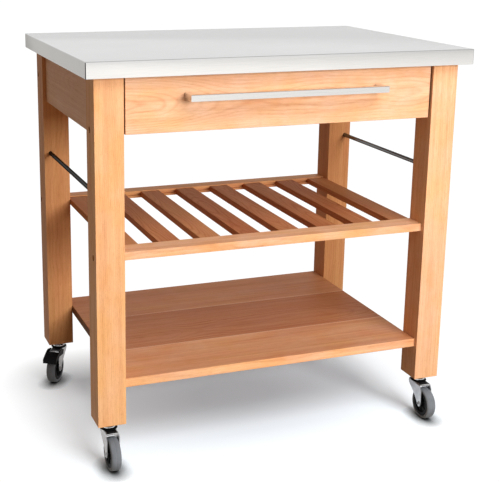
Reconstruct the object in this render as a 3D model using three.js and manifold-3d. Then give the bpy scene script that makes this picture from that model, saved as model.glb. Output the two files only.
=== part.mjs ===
// Kitchen island cart: a wooden frame on four casters, with a folded steel worktop, a drawer,
// a slatted middle shelf, a solid bottom shelf and a towel rod on each side.
// Millimetres. +X is to the right of someone who faces the drawer, +Y is to the back, +Z is up.
// The floor is z = 0, and the origin is on it, below the middle of the object's outer box.

import * as THREE from "three";
import { mergeVertices } from "three/addons/utils/BufferGeometryUtils.js";
import Module from "manifold-3d";

const wasm = await Module();
wasm.setup();

// ---------------------------------------------------------------- driving dimensions

const WIDTH = 900;
const DEPTH = 610;
const HEIGHT = 905;
const GAP = 0.3; // between pieces that touch
const OVERSHOOT = 1; // how far a cutting shape runs past the face that it cuts

const WORKTOP = { thickness: 35, sheet: 1.5, lip: 13 };
const OVERHANG = { side: 23, front: 26, back: 23.5 };
const LEG = { width: 63, depth: 64 };
const CASTER_HEIGHT = 104;

const APRON = { thickness: 20, bottom: 745, sideRecess: 8.5, backRecess: 1.5 };
const CROSS_RAIL = { depth: 24, height: 24, bottom: 745, boltFromLegFront: 40 };
const APRON_BOLT_Z = 806;

const SLATTED = {
  top: 494, thickness: 18, frontRecess: 12, backRecess: 1.5, frontRail: 52.5, backRail: 38,
  boltFromFrontEdge: 11, boltFromBackEdge: 9,
};
const SLAT = { count: 8, width: 50, thickness: 15, drop: 1.5, tenon: 7.5, tenonThickness: 6 };
const BOTTOM_SHELF = { top: 206, thickness: 20, frontRecess: 9, backRecess: 2 };

const DRAWER_FRONT = { sideGap: 4.3, recess: 5.5, thickness: 20, bottom: 748, top: 867 };
const DRAWER_BOX = { length: 450, board: 12, bottom: 776, top: 852 };
const DRAWER_FLOOR = { thickness: 5, aboveSideBottom: 8, grooveDepth: 6 };
const HANDLE = { length: 462, bar: 14, reach: 42.5, bottom: 817 };
const RUNNER = {
  room: 12.8, height: 35, sheet: 1.5, bottom: 797, fixedLength: 495, flange: 8, clearance: 1.3,
};

const ROD = { radius: 5, z: 614.5, fromLegOutside: 16, intoLeg: 15, holeRadius: 5.4, holeDepth: 16 };
const BOLT = { headRadius: 5.8, headHeight: 5, headDepth: 7, shankRadius: 3, length: 80 };
const BOLT_HOLE = { boreRadius: 6.5, clearRadius: 3.4, railDepth: 32 };

const WHEEL = { radius: 37.5, halfWidth: 11.5, rimRadius: 28, hubHalfWidth: 12.2, boreRadius: 4.5 };
const HUB = { bossRadius: 9.5, webHalf: 7, rimInside: 22, rimTaper: 1, rimRecess: 1 };
const TYRE = { sideRecess: 1, wall: 5, shoulderDrop: 1.5, shoulderInset: 2.5, tread: 6 };
const CASTER = {
  trail: 31, forkInside: 13, forkSheet: 2.2, axleRadius: 4, axleEnd: 2, crownTop: 86.5, crownSheet: 2.5,
};
const RACEWAY = { radius: 19, top: 94.5, bottom: 79.5, boreRadius: 6.4, chamfer: 5, step: 2, floorRadius: 15 };
const STEM = {
  radius: 5, intoLeg: 42, holeRadius: 5.5, holeDepth: 44, collarRadius: 11, collarTopRadius: 10,
  pinRadius: 6, rivetRadius: 9, rivetHeight: 3.5,
};
const PEDAL = {
  inside: 15.5, sheet: 2.6, pivotForward: 20, pivotZ: 79, pinRadius: 2.4, holeRadius: 2.8,
  tyreGap: 1.5, coverStart: 40.5, coverInset: 0.5, tip: 67,
  lift: 14, // degrees off the tyre when the brake is free
};
const HEADING = { front: 0, back: 33 }; // degrees that a caster trails away from -Y, towards -X

const ROUND = { small: 16, medium: 24, wheel: 32 };

// ---------------------------------------------------------------- derived places

const legOutsideX = WIDTH / 2 - OVERHANG.side;
const legInsideX = legOutsideX - LEG.width;
const legFrontY = -DEPTH / 2 + OVERHANG.front;
const legBackY = DEPTH / 2 - OVERHANG.back;
const underWorktop = HEIGHT - WORKTOP.thickness + WORKTOP.sheet;
const betweenLegsFrontY = legFrontY + LEG.depth;
const betweenLegsBackY = legBackY - LEG.depth;

const crossRailBoltY = legFrontY + CROSS_RAIL.boltFromLegFront;
const crossRailBoltZ = CROSS_RAIL.bottom + CROSS_RAIL.height / 2;
const apronBoltY = legBackY - APRON.backRecess - APRON.thickness / 2;
const slattedBoltZ = SLATTED.top - SLATTED.thickness / 2;
const slattedFrontY = legFrontY + SLATTED.frontRecess;
const slattedBackY = legBackY - SLATTED.backRecess;
const frontRailBoltY = slattedFrontY + SLATTED.boltFromFrontEdge;
const backRailBoltY = slattedBackY - SLATTED.boltFromBackEdge;

const drawerFaceY = legFrontY + DRAWER_FRONT.recess;
const drawerBoxY = drawerFaceY + DRAWER_FRONT.thickness + GAP;
const drawerSideX = legInsideX - RUNNER.room;
const drawerFloorZ = DRAWER_BOX.bottom + DRAWER_FLOOR.aboveSideBottom;
const handleFrontY = drawerFaceY - HANDLE.reach;

const SIDES = [
  { name: "left", sign: -1 },
  { name: "right", sign: 1 },
];

// ---------------------------------------------------------------- materials

const material = (color, roughness, metalness) =>
  new THREE.MeshStandardMaterial({ color, roughness, metalness });

const beech = () => material(0xd9a470, 0.55, 0);
const plywood = () => material(0xdcb88a, 0.65, 0);
const brushedSteel = () => material(0xc6c8ca, 0.35, 1);
const zincSteel = () => material(0xb9bcc0, 0.3, 1);
const greyRubber = () => material(0x6f7278, 0.8, 0);
const blackPlastic = () => material(0x141414, 0.5, 0);

// ---------------------------------------------------------------- solids and meshes

// A welded, position-only copy of a geometry, with no collapsed triangles.
function weld(geometry) {
  const plain = geometry.clone();
  plain.deleteAttribute("normal");
  plain.deleteAttribute("uv");
  const welded = mergeVertices(plain);
  const index = Array.from(welded.index.array);
  const kept = [];
  for (let i = 0; i < index.length; i += 3) {
    const [a, b, c] = index.slice(i, i + 3);
    if (a !== b && b !== c && c !== a) kept.push(a, b, c);
  }
  welded.setIndex(kept);
  return welded;
}

function toSolid(geometry) {
  const welded = weld(geometry);
  const vertProperties = new Float32Array(welded.attributes.position.array);
  const triVerts = new Uint32Array(welded.index.array);
  return new wasm.Manifold(new wasm.Mesh({ numProp: 3, vertProperties, triVerts }));
}

function toGeometry(solid) {
  const mesh = solid.getMesh();
  const geometry = new THREE.BufferGeometry();
  geometry.setAttribute("position", new THREE.BufferAttribute(new Float32Array(mesh.vertProperties), 3));
  geometry.setIndex(Array.from(mesh.triVerts));
  geometry.computeVertexNormals();
  return geometry;
}

const join = (first, ...others) => others.reduce((sum, other) => sum.add(toSolid(other)), toSolid(first));
const cut = (solid, tools) => tools.reduce((rest, tool) => rest.subtract(toSolid(tool)), solid);

// A box between two corners.
function block([x0, y0, z0], [x1, y1, z1]) {
  const geometry = new THREE.BoxGeometry(x1 - x0, y1 - y0, z1 - z0);
  return geometry.translate((x0 + x1) / 2, (y0 + y1) / 2, (z0 + z1) / 2);
}

// A cylinder from start to start + length, along X, Y or Z.
function rod(axis, radius, start, length, segments = ROUND.medium) {
  const geometry = new THREE.CylinderGeometry(radius, radius, Math.abs(length), segments);
  if (axis === "x") geometry.rotateZ(-Math.PI / 2);
  if (axis === "z") geometry.rotateX(Math.PI / 2);
  const middle = new THREE.Vector3(...start);
  middle[axis] += length / 2;
  return geometry.translate(middle.x, middle.y, middle.z);
}

// An outline pushed along a third axis. The basis says where the outline's two axes and the push go.
function prism(outline, length, basis) {
  const shape = new THREE.Shape(outline.map(([u, v]) => new THREE.Vector2(u, v)));
  const geometry = new THREE.ExtrudeGeometry(shape, { depth: length, bevelEnabled: false });
  const axes = basis.map((axis) => new THREE.Vector3(...axis));
  return geometry.applyMatrix4(new THREE.Matrix4().makeBasis(...axes));
}

const ALONG_X = [[0, 1, 0], [0, 0, 1], [1, 0, 0]]; // outline in Y and Z, pushed to +X
const ALONG_Y = [[1, 0, 0], [0, 0, 1], [0, -1, 0]]; // outline in X and Z, pushed to -Y
const ALONG_Z = [[1, 0, 0], [0, 1, 0], [0, 0, 1]]; // outline in X and Y, pushed to +Z
const CASTER_SIDE = [[0, -1, 0], [0, 0, 1], [-1, 0, 0]]; // outline forwards (-Y) and up, pushed to -X

// A profile of radius and height, turned about Z. It starts and ends on the axis or closes on itself.
function turned(profile, segments) {
  const points = profile.map(([radius, height]) => new THREE.Vector2(radius, height));
  return new THREE.LatheGeometry(points, segments).rotateX(Math.PI / 2);
}

const cart = new THREE.Group();

function place(name, geometry, finish, parent = cart) {
  const mesh = new THREE.Mesh(geometry, finish);
  mesh.name = name;
  parent.add(mesh);
  return mesh;
}

// ---------------------------------------------------------------- worktop

function addWorktop() {
  const { thickness, sheet, lip } = WORKTOP;
  const x = WIDTH / 2;
  const y = DEPTH / 2;
  const bottom = HEIGHT - thickness;
  const shell = cut(join(block([-x, -y, bottom], [x, y, HEIGHT])), [
    block([sheet - x, sheet - y, bottom + sheet], [x - sheet, y - sheet, HEIGHT - sheet]),
    block([lip - x, lip - y, bottom - OVERSHOOT], [x - lip, y - lip, bottom + sheet + OVERSHOOT]),
  ]);
  place("worktop_sheet", toGeometry(shell), brushedSteel());
  const inset = sheet + GAP;
  const core = block([inset - x, inset - y, bottom + inset], [x - inset, y - inset, HEIGHT - inset]);
  place("worktop_core", core, plywood());
}

// ---------------------------------------------------------------- legs, rails and bolts

// Each leg's two bolts: where they pass through it from its outer face.
const LEG_BOLTS = {
  front: [
    { rail: "cross_rail", y: crossRailBoltY, z: crossRailBoltZ },
    { rail: "shelf_front", y: frontRailBoltY, z: slattedBoltZ },
  ],
  back: [
    { rail: "back_apron", y: apronBoltY, z: APRON_BOLT_Z },
    { rail: "shelf_back", y: backRailBoltY, z: slattedBoltZ },
  ],
};

function boltHoles(sign, { y, z }) {
  const outside = sign * (legOutsideX + OVERSHOOT);
  const boreDepth = BOLT.headDepth + BOLT.headHeight + GAP + OVERSHOOT;
  return [
    rod("x", BOLT_HOLE.boreRadius, [outside, y, z], -sign * boreDepth),
    rod("x", BOLT_HOLE.clearRadius, [outside, y, z], -sign * (LEG.width + 2 * OVERSHOOT), ROUND.small),
  ];
}

function addLeg(name, sign, end) {
  const [y0, y1] = end === "front" ? [legFrontY, betweenLegsFrontY] : [betweenLegsBackY, legBackY];
  const [x0, x1] = [sign * legOutsideX, sign * legInsideX].sort((a, b) => a - b);
  const towardsRod = end === "front" ? 1 : -1;
  const rodFaceY = end === "front" ? betweenLegsFrontY : betweenLegsBackY;
  const rodX = sign * (legOutsideX - ROD.fromLegOutside);
  const holes = LEG_BOLTS[end].flatMap((bolt) => boltHoles(sign, bolt));
  const rodHoleStart = [rodX, rodFaceY + towardsRod * OVERSHOOT, ROD.z];
  const stemHoleStart = [(x0 + x1) / 2, (y0 + y1) / 2, CASTER_HEIGHT - OVERSHOOT];
  holes.push(rod("y", ROD.holeRadius, rodHoleStart, -towardsRod * (ROD.holeDepth + OVERSHOOT)));
  holes.push(rod("z", STEM.holeRadius, stemHoleStart, STEM.holeDepth + OVERSHOOT));
  const leg = cut(join(block([x0, y0, CASTER_HEIGHT], [x1, y1, underWorktop - GAP])), holes);
  place(name, toGeometry(leg), beech());
}

function addBolt(name, sign, { y, z }) {
  const headX = sign * (legOutsideX - BOLT.headDepth);
  const head = rod("x", BOLT.headRadius, [headX, y, z], -sign * BOLT.headHeight, ROUND.small);
  const shankStart = [headX - (sign * BOLT.headHeight) / 2, y, z];
  const shankLength = BOLT.length + BOLT.headHeight / 2;
  const shank = rod("x", BOLT.shankRadius, shankStart, -sign * shankLength, ROUND.small);
  place(name, toGeometry(join(head, shank)), zincSteel());
}

// A rail between the legs, with a bolt hole in each end.
function withEndHoles(geometry, y, z) {
  const startX = legInsideX - GAP + OVERSHOOT;
  const length = BOLT_HOLE.railDepth + OVERSHOOT;
  const holes = SIDES.map(({ sign }) =>
    rod("x", BOLT_HOLE.clearRadius, [sign * startX, y, z], -sign * length, ROUND.small));
  return toGeometry(cut(join(geometry), holes));
}

function addFrame() {
  const endX = legInsideX - GAP;
  const apronTop = underWorktop - GAP;
  for (const { name, sign } of SIDES) {
    for (const end of ["front", "back"]) {
      addLeg(`leg_${end}_${name}`, sign, end);
      for (const bolt of LEG_BOLTS[end]) addBolt(`bolt_${bolt.rail}_${name}`, sign, bolt);
    }
    const outer = sign * (legOutsideX - APRON.sideRecess);
    const [x0, x1] = [outer, outer - sign * APRON.thickness].sort((a, b) => a - b);
    const apronFront = [x0, betweenLegsFrontY + GAP, APRON.bottom];
    place(`side_apron_${name}`, block(apronFront, [x1, betweenLegsBackY - GAP, apronTop]), beech());
  }
  const apronBack = legBackY - APRON.backRecess;
  const backBoard = block([-endX, apronBack - APRON.thickness, APRON.bottom], [endX, apronBack, apronTop]);
  place("back_apron", withEndHoles(backBoard, apronBoltY, APRON_BOLT_Z), beech());
  const railY = crossRailBoltY - CROSS_RAIL.depth / 2;
  const railTop = CROSS_RAIL.bottom + CROSS_RAIL.height;
  const rail = block([-endX, railY, CROSS_RAIL.bottom], [endX, railY + CROSS_RAIL.depth, railTop]);
  place("front_cross_rail", withEndHoles(rail, crossRailBoltY, crossRailBoltZ), beech());
}

function addTowelRods() {
  const start = betweenLegsFrontY - ROD.intoLeg;
  const length = betweenLegsBackY + ROD.intoLeg - start;
  for (const { name, sign } of SIDES) {
    const x = sign * (legOutsideX - ROD.fromLegOutside);
    place(`towel_rod_${name}`, rod("y", ROD.radius, [x, start, ROD.z], length), brushedSteel());
  }
}

// ---------------------------------------------------------------- shelves

// Outline in Y and Z of a shelf rail, grooved on the edge at grooveY for the slats' tenons.
function railOutline(plainY, grooveY) {
  const inward = Math.sign(plainY - grooveY);
  const bottom = SLATTED.top - SLATTED.thickness;
  const grooveMiddle = SLATTED.top - SLAT.drop - SLAT.thickness / 2;
  const grooveHalf = SLAT.tenonThickness / 2 + GAP;
  const grooveFloor = grooveY + inward * (SLAT.tenon + 2 * GAP);
  return [
    [plainY, bottom], [grooveY, bottom],
    [grooveY, grooveMiddle - grooveHalf], [grooveFloor, grooveMiddle - grooveHalf],
    [grooveFloor, grooveMiddle + grooveHalf], [grooveY, grooveMiddle + grooveHalf],
    [grooveY, SLATTED.top], [plainY, SLATTED.top],
  ];
}

// Outline in Y and Z of a slat with a tenon on each end.
function slatOutline(frontY, backY) {
  const top = SLATTED.top - SLAT.drop;
  const bottom = top - SLAT.thickness;
  const low = top - SLAT.thickness / 2 - SLAT.tenonThickness / 2;
  const high = low + SLAT.tenonThickness;
  return [
    [frontY, bottom], [backY, bottom], [backY, low], [backY + SLAT.tenon, low],
    [backY + SLAT.tenon, high], [backY, high], [backY, top], [frontY, top],
    [frontY, high], [frontY - SLAT.tenon, high], [frontY - SLAT.tenon, low], [frontY, low],
  ];
}

function addSlattedShelf() {
  const endX = legInsideX - GAP;
  const frontGrooveY = slattedFrontY + SLATTED.frontRail;
  const backGrooveY = slattedBackY - SLATTED.backRail;
  const rails = [
    { name: "shelf_rail_front", outline: railOutline(slattedFrontY, frontGrooveY), boltY: frontRailBoltY },
    { name: "shelf_rail_back", outline: railOutline(slattedBackY, backGrooveY), boltY: backRailBoltY },
  ];
  for (const { name, outline, boltY } of rails) {
    const bar = prism(outline, 2 * endX, ALONG_X).translate(-endX, 0, 0);
    place(name, withEndHoles(bar, boltY, slattedBoltZ), beech());
  }
  const outline = slatOutline(frontGrooveY + GAP, backGrooveY - GAP);
  const pitch = (2 * endX - SLAT.width) / (SLAT.count - 1);
  for (let i = 0; i < SLAT.count; i += 1) {
    const slat = prism(outline, SLAT.width, ALONG_X).translate(i * pitch - endX, 0, 0);
    place(`shelf_slat_${i + 1}`, slat, beech());
  }
}

function addBottomShelf() {
  const endX = legInsideX - GAP;
  const { top, thickness, frontRecess, backRecess } = BOTTOM_SHELF;
  const low = [-endX, legFrontY + frontRecess, top - thickness];
  const high = [endX, legBackY - backRecess, top];
  place("bottom_shelf", block(low, high), beech());
}

// ---------------------------------------------------------------- drawer and runners

// Outline in X and Z of a C-shaped runner member, with its web at webX and its flanges towards openX.
function channelOutline(webX, openX, bottom, top) {
  const inward = Math.sign(openX - webX) * RUNNER.sheet;
  const { sheet } = RUNNER;
  return [
    [webX, bottom], [openX, bottom], [openX, bottom + sheet], [webX + inward, bottom + sheet],
    [webX + inward, top - sheet], [openX, top - sheet], [openX, top], [webX, top],
  ];
}

function addRunners() {
  const top = RUNNER.bottom + RUNNER.height;
  const inset = RUNNER.sheet + RUNNER.clearance;
  for (const { name, sign } of SIDES) {
    const legX = sign * (legInsideX - GAP);
    const boxX = sign * (drawerSideX + GAP);
    const fixed = channelOutline(legX, legX - sign * RUNNER.flange, RUNNER.bottom, top);
    const moving = channelOutline(boxX, boxX + sign * RUNNER.flange, RUNNER.bottom + inset, top - inset);
    const fixedEnd = drawerBoxY + RUNNER.fixedLength;
    const movingEnd = drawerBoxY + DRAWER_BOX.length;
    const fixedBar = prism(fixed, RUNNER.fixedLength, ALONG_Y).translate(0, fixedEnd, 0);
    const movingBar = prism(moving, DRAWER_BOX.length, ALONG_Y).translate(0, movingEnd, 0);
    place(`runner_fixed_${name}`, fixedBar, zincSteel());
    place(`runner_moving_${name}`, movingBar, zincSteel());
  }
}

// Outline in X and Z of a drawer side, with the groove that holds the drawer's floor.
function drawerSideOutline(sign) {
  const outer = sign * drawerSideX;
  const inner = sign * (drawerSideX - DRAWER_BOX.board);
  const groove = inner + sign * DRAWER_FLOOR.grooveDepth;
  const low = drawerFloorZ - GAP;
  const high = drawerFloorZ + DRAWER_FLOOR.thickness + GAP;
  const { bottom, top } = DRAWER_BOX;
  return [
    [outer, bottom], [inner, bottom], [inner, low], [groove, low],
    [groove, high], [inner, high], [inner, top], [outer, top],
  ];
}

function addDrawer() {
  const frontX = legInsideX - DRAWER_FRONT.sideGap;
  const frontLow = [-frontX, drawerFaceY, DRAWER_FRONT.bottom];
  const frontHigh = [frontX, drawerFaceY + DRAWER_FRONT.thickness, DRAWER_FRONT.top];
  place("drawer_front", block(frontLow, frontHigh), beech());

  const boxBackY = drawerBoxY + DRAWER_BOX.length;
  for (const { name, sign } of SIDES) {
    const side = prism(drawerSideOutline(sign), DRAWER_BOX.length, ALONG_Y).translate(0, boxBackY, 0);
    place(`drawer_side_${name}`, side, beech());
  }
  const innerX = drawerSideX - DRAWER_BOX.board;
  const floorTop = drawerFloorZ + DRAWER_FLOOR.thickness;
  const backLow = [GAP - innerX, boxBackY - DRAWER_BOX.board, floorTop + GAP];
  place("drawer_back", block(backLow, [innerX - GAP, boxBackY, DRAWER_BOX.top]), beech());
  const floorX = innerX + DRAWER_FLOOR.grooveDepth - GAP;
  const floorBoard = block([-floorX, drawerBoxY, drawerFloorZ], [floorX, boxBackY, floorTop]);
  place("drawer_floor", floorBoard, plywood());
}

function addHandle() {
  const x = HANDLE.length / 2;
  const innerX = x - HANDLE.bar;
  const rootY = drawerFaceY - GAP;
  const innerY = handleFrontY + HANDLE.bar;
  const outline = [
    [-x, rootY], [-x, handleFrontY], [x, handleFrontY], [x, rootY],
    [innerX, rootY], [innerX, innerY], [-innerX, innerY], [-innerX, rootY],
  ];
  const bar = prism(outline, HANDLE.bar, ALONG_Z).translate(0, 0, HANDLE.bottom);
  place("drawer_handle", bar, brushedSteel());
}

// ---------------------------------------------------------------- casters
// A caster is built about its swivel axis, trailing towards -Y, with the floor at z = 0.

// Outline forwards and up of a fork side: wide under the crown, narrowing to the axle.
const FORK_SIDE = [
  [-19, CASTER.crownTop], [-17, 75], [5, 60], [22, 40], [26, 33], [31, 29.5],
  [36.5, 32], [39, 40], [39.5, 62], [38, 72], [33, 80], [32, CASTER.crownTop],
];

function stemGeometry() {
  const { radius, intoLeg, collarRadius, collarTopRadius, pinRadius, rivetRadius } = STEM;
  const rivetBottom = RACEWAY.bottom - STEM.rivetHeight;
  return turned([
    [0, rivetBottom], [rivetRadius, rivetBottom], [rivetRadius, RACEWAY.bottom - GAP],
    [pinRadius, RACEWAY.bottom - GAP], [pinRadius, RACEWAY.top + GAP],
    [collarRadius, RACEWAY.top + GAP], [collarTopRadius, CASTER_HEIGHT - GAP],
    [radius, CASTER_HEIGHT - GAP], [radius, CASTER_HEIGHT + intoLeg], [0, CASTER_HEIGHT + intoLeg],
  ], ROUND.small);
}

function forkGeometry(braked) {
  const { forkInside, forkSheet, crownTop, crownSheet } = CASTER;
  const outside = forkInside + forkSheet;
  const crownLow = crownTop - crownSheet;
  const sides = [outside, -forkInside].map((x) => prism(FORK_SIDE, forkSheet, CASTER_SIDE).translate(x, 0, 0));
  const crownBack = -FORK_SIDE[0][0];
  const crownFront = -FORK_SIDE.at(-1)[0];
  const crown = block([-outside, crownFront, crownLow], [outside, crownBack, crownTop]);
  const race = turned([
    [0, RACEWAY.bottom], [RACEWAY.floorRadius, RACEWAY.bottom], [RACEWAY.radius, crownLow],
    [RACEWAY.radius, crownTop + RACEWAY.step], [RACEWAY.radius - RACEWAY.chamfer, RACEWAY.top],
    [0, RACEWAY.top],
  ], ROUND.medium);
  const axleHalf = outside + CASTER.axleEnd;
  const axleStart = [-axleHalf, -CASTER.trail, WHEEL.radius];
  const axle = rod("x", CASTER.axleRadius, axleStart, 2 * axleHalf, ROUND.small);
  const boreLength = RACEWAY.top - RACEWAY.bottom + 2 * OVERSHOOT;
  const holes = [rod("z", RACEWAY.boreRadius, [0, 0, RACEWAY.bottom - OVERSHOOT], boreLength)];
  if (braked) {
    for (const { sign } of SIDES) {
      const start = [sign * (forkInside - OVERSHOOT), -PEDAL.pivotForward, PEDAL.pivotZ];
      holes.push(rod("x", PEDAL.holeRadius, start, sign * (forkSheet + 2 * OVERSHOOT), ROUND.small));
    }
  }
  return toGeometry(cut(join(sides[0], sides[1], crown, race, axle), holes));
}

// Wheel parts are turned about the axle, which runs along X.
function wheelPart(profile, segments) {
  const geometry = turned(profile, segments).rotateY(Math.PI / 2);
  return geometry.translate(0, -CASTER.trail, WHEEL.radius);
}

function hubGeometry() {
  const { rimRadius, hubHalfWidth, boreRadius, halfWidth } = WHEEL;
  const { bossRadius, webHalf, rimInside } = HUB;
  const rimOutside = rimInside + HUB.rimTaper;
  const rimHalf = halfWidth - HUB.rimRecess;
  return wheelPart([
    [boreRadius, -hubHalfWidth], [bossRadius, -hubHalfWidth], [bossRadius, -webHalf],
    [rimInside, -webHalf], [rimOutside, -rimHalf], [rimRadius, -rimHalf], [rimRadius, rimHalf],
    [rimOutside, rimHalf], [rimInside, webHalf], [bossRadius, webHalf],
    [bossRadius, hubHalfWidth], [boreRadius, hubHalfWidth], [boreRadius, -hubHalfWidth],
  ], ROUND.medium);
}

function tyreGeometry() {
  const { radius, halfWidth } = WHEEL;
  const inner = WHEEL.rimRadius + GAP;
  const innerHalf = halfWidth - TYRE.sideRecess;
  const wallRadius = radius - TYRE.wall;
  const shoulderRadius = radius - TYRE.shoulderDrop;
  const shoulderHalf = halfWidth - TYRE.shoulderInset;
  const treadHalf = halfWidth - TYRE.tread;
  return wheelPart([
    [inner, -innerHalf], [wallRadius, -halfWidth], [shoulderRadius, -shoulderHalf], [radius, -treadHalf],
    [radius, treadHalf], [shoulderRadius, shoulderHalf], [wallRadius, halfWidth], [inner, innerHalf],
    [inner, -innerHalf],
  ], ROUND.wheel);
}

// Outlines forwards and up of the pedal as it is when pressed down: a cheek, and the cover's top.
const PEDAL_CHEEK = [
  [13, 73], [40, 70], [57, 60], [PEDAL.tip, 56], [PEDAL.tip, 63], [50, 78], [36, 86], [14, 86],
];
const PEDAL_TOP = [[PEDAL.tip, 63], [50, 77.5], [PEDAL.coverStart, 80.5]];
const UNDERSIDE_STEPS = 6;

// The underside of the cover, a small gap off the tyre when the pedal is pressed down.
function pedalUnderside() {
  const arcRadius = WHEEL.radius + PEDAL.tyreGap;
  const points = [];
  for (let i = 0; i <= UNDERSIDE_STEPS; i += 1) {
    const forward = PEDAL.coverStart + ((PEDAL.tip - PEDAL.coverStart) * i) / UNDERSIDE_STEPS;
    const rise = Math.sqrt(arcRadius ** 2 - (forward - CASTER.trail) ** 2);
    points.push([forward, WHEEL.radius + rise]);
  }
  return points;
}

// The brake pedal: a cheek outside each fork side, and a cover that bridges them over the tyre.
function pedalGeometry() {
  const { inside, sheet, pivotForward, pivotZ, pinRadius, coverInset } = PEDAL;
  const outside = inside + sheet;
  const coverHalf = outside - coverInset;
  const pieces = [outside, -inside].map((x) => prism(PEDAL_CHEEK, sheet, CASTER_SIDE).translate(x, 0, 0));
  const coverOutline = [...pedalUnderside(), ...PEDAL_TOP];
  pieces.push(prism(coverOutline, 2 * coverHalf, CASTER_SIDE).translate(coverHalf, 0, 0));
  const pinStart = CASTER.forkInside + GAP;
  for (const { sign } of SIDES) {
    const start = [sign * pinStart, -pivotForward, pivotZ];
    pieces.push(rod("x", pinRadius, start, sign * (inside + sheet / 2 - pinStart), ROUND.small));
  }
  const pressed = toGeometry(join(...pieces)).translate(0, pivotForward, -pivotZ);
  return pressed.rotateX(-THREE.MathUtils.degToRad(PEDAL.lift)).translate(0, -pivotForward, pivotZ);
}

function addCaster(corner, x, y, heading, braked) {
  const swivel = new THREE.Group();
  swivel.position.set(x, y, 0);
  swivel.rotation.z = -THREE.MathUtils.degToRad(heading);
  cart.add(swivel);
  place(`caster_stem_${corner}`, toGeometry(join(stemGeometry())), zincSteel(), swivel);
  place(`caster_fork_${corner}`, forkGeometry(braked), zincSteel(), swivel);
  place(`wheel_hub_${corner}`, toGeometry(join(hubGeometry())), blackPlastic(), swivel);
  place(`wheel_tyre_${corner}`, toGeometry(join(tyreGeometry())), greyRubber(), swivel);
  if (braked) place(`brake_pedal_${corner}`, pedalGeometry(), blackPlastic(), swivel);
}

function addCasters() {
  const legMiddleX = legOutsideX - LEG.width / 2;
  const ends = [
    { end: "front", y: legFrontY + LEG.depth / 2, heading: HEADING.front, braked: false },
    { end: "back", y: legBackY - LEG.depth / 2, heading: HEADING.back, braked: true },
  ];
  for (const { end, y, heading, braked } of ends) {
    for (const { name, sign } of SIDES) addCaster(`${end}_${name}`, sign * legMiddleX, y, heading, braked);
  }
}

// ---------------------------------------------------------------- assembly

addWorktop();
addFrame();
addTowelRods();
addSlattedShelf();
addBottomShelf();
addRunners();
addDrawer();
addHandle();
addCasters();

// The handle stands out in front of the worktop, so the worktop's middle is behind the origin.
cart.position.y = -(handleFrontY + DEPTH / 2) / 2;

export default cart;
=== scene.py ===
"""Looks of a kitchen island cart: oiled beech, brushed steel, zinc-plated casters and a pale studio.

Metres, in the row frame: +X right, +Y back, +Z up, and the floor at z = 0.
"""

import math
import random

import bmesh
import bpy
from mathutils import Matrix, Vector


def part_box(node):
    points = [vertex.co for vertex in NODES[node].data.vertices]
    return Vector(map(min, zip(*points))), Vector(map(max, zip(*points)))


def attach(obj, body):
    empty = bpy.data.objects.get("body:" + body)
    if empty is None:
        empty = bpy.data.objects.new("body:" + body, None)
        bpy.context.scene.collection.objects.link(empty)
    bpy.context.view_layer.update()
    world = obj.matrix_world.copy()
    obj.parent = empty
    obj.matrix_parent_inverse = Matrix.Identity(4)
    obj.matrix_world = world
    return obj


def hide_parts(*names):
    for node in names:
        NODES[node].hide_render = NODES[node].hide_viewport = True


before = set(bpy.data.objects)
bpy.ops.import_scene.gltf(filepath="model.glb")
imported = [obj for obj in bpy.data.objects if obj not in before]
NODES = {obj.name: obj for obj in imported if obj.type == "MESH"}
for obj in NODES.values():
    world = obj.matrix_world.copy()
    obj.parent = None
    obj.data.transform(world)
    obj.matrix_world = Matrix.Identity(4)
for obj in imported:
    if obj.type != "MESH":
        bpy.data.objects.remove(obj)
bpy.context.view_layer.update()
MM = 0.001


# ---------------------------------------------------------------- camera

CAMERA_PLACE = (-0.9522, -2.3123, 1.1584)
CAMERA_YAW = 20.33  # degrees to the right of +Y
CAMERA_PITCH = 13.89  # degrees below the horizon
CAMERA_ROLL = 0.58
CAMERA_LENS = 75.6
CAMERA_SHIFT = (0.100, -0.102)


def make_camera():
    """The camera stands in front and to the left of the cart, a little above its worktop."""
    data = bpy.data.cameras.new("camera")
    data.lens = CAMERA_LENS
    data.shift_x, data.shift_y = CAMERA_SHIFT
    camera = bpy.data.objects.new("camera", data)
    bpy.context.scene.collection.objects.link(camera)
    turn = Matrix.Rotation(math.radians(-CAMERA_YAW), 4, "Z")
    tip = Matrix.Rotation(math.radians(90 - CAMERA_PITCH), 4, "X")
    roll = Matrix.Rotation(math.radians(CAMERA_ROLL), 4, "Z")
    camera.matrix_world = Matrix.Translation(CAMERA_PLACE) @ turn @ tip @ roll
    bpy.context.scene.camera = camera


# ---------------------------------------------------------------- shader graphs


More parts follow.
